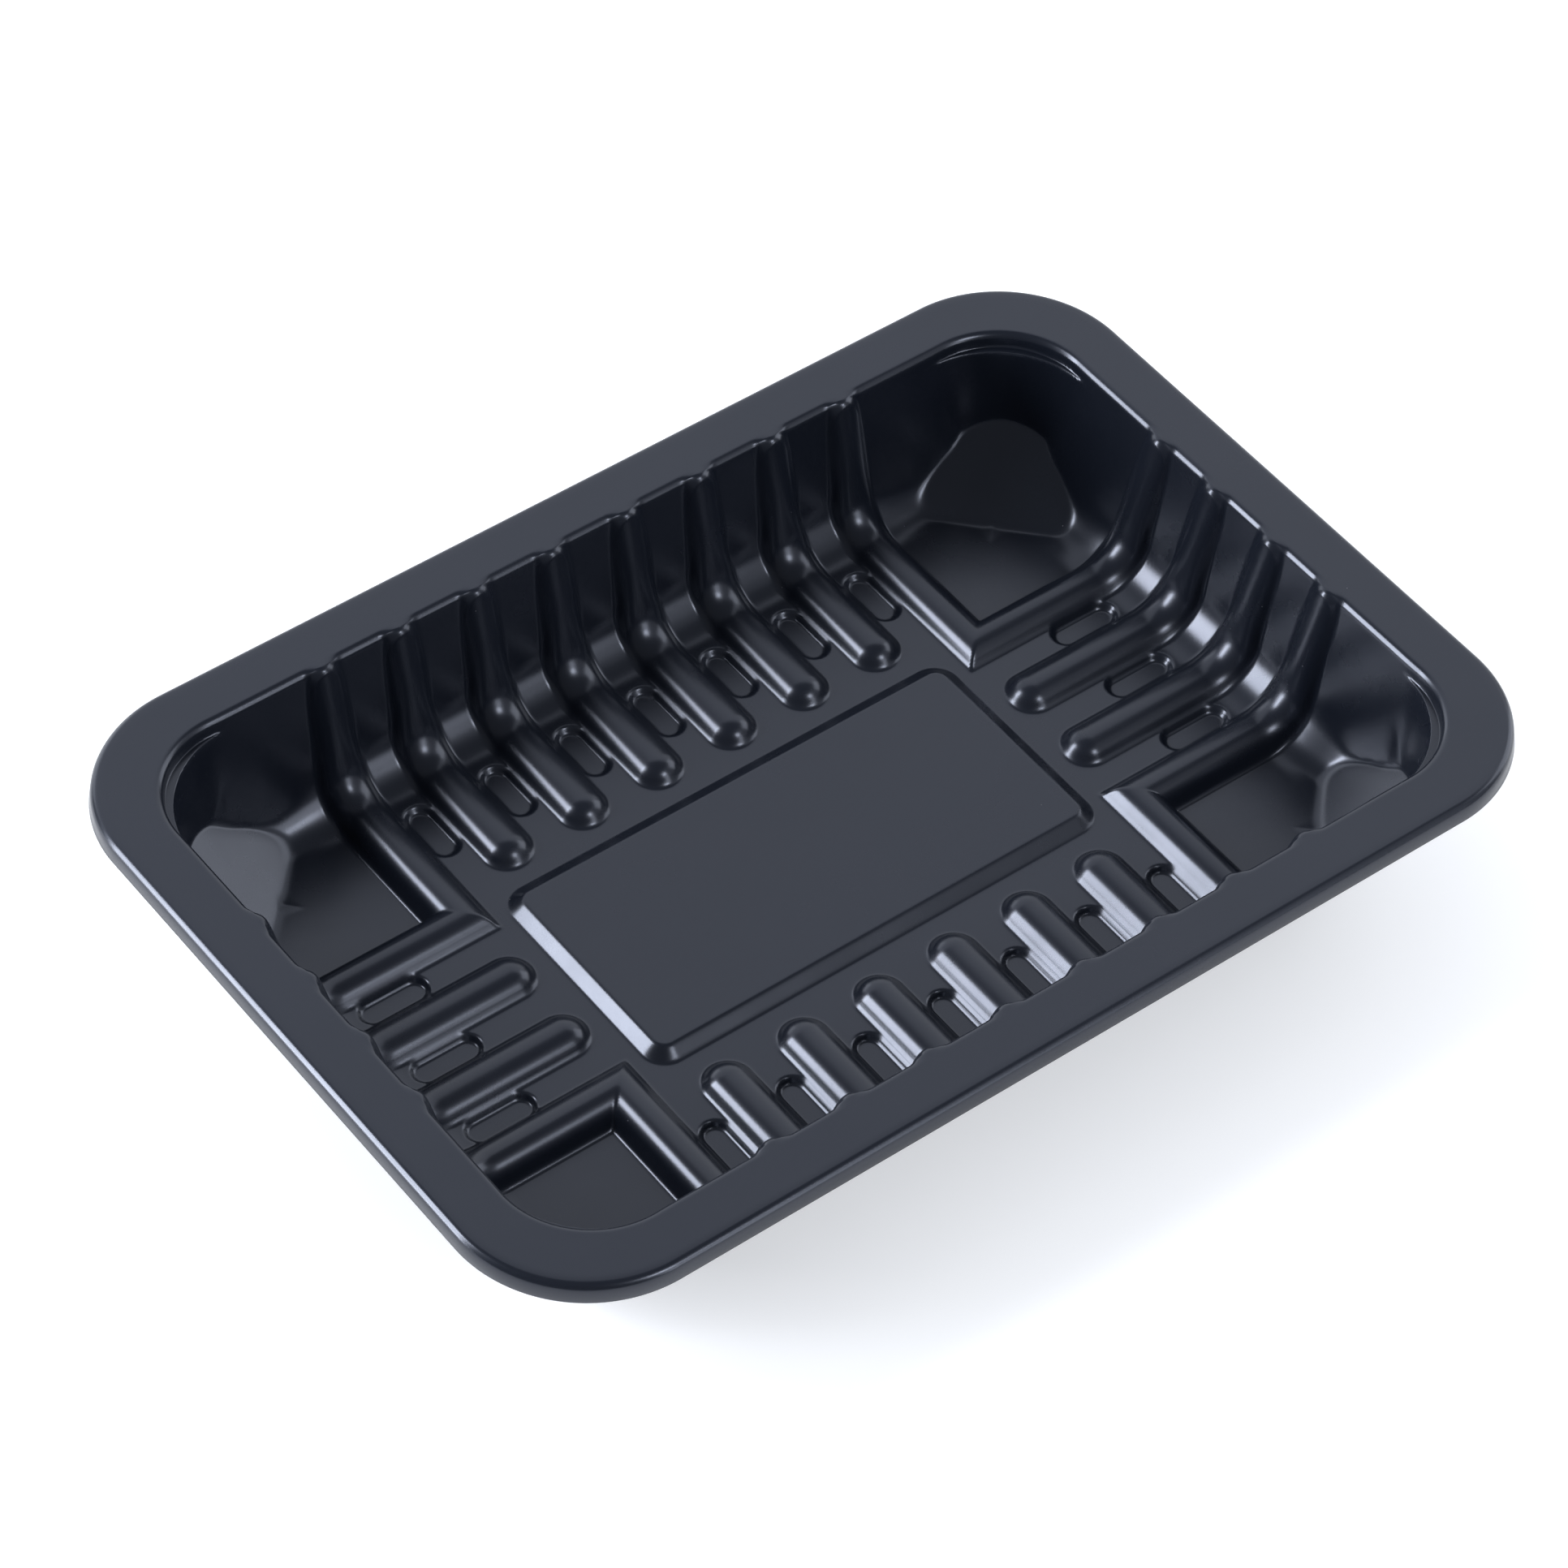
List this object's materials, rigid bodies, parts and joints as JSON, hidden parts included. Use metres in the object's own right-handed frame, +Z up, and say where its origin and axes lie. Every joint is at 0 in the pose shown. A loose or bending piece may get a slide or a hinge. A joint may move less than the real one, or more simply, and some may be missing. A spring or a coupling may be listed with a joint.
{
  "type": "plastic food tray",
  "caption": "Shallow rectangular plastic food tray with a flat rounded flange, ribbed sloping walls and floor, angled corner compartments and a raised centre panel.",
  "frame": {"origin": "centre of the tray's footprint, on the plane that its corner feet rest on", "axes": "+X along the long side, +Y along the short side, +Z up out of the open top"},
  "size_m": [0.21, 0.1466, 0.0304],
  "materials": {
    "tray": "smooth glossy black, thermoformed sheet"
  },
  "bodies": {
    "root": {"tray": "tray"}
  },
  "joints": []
}
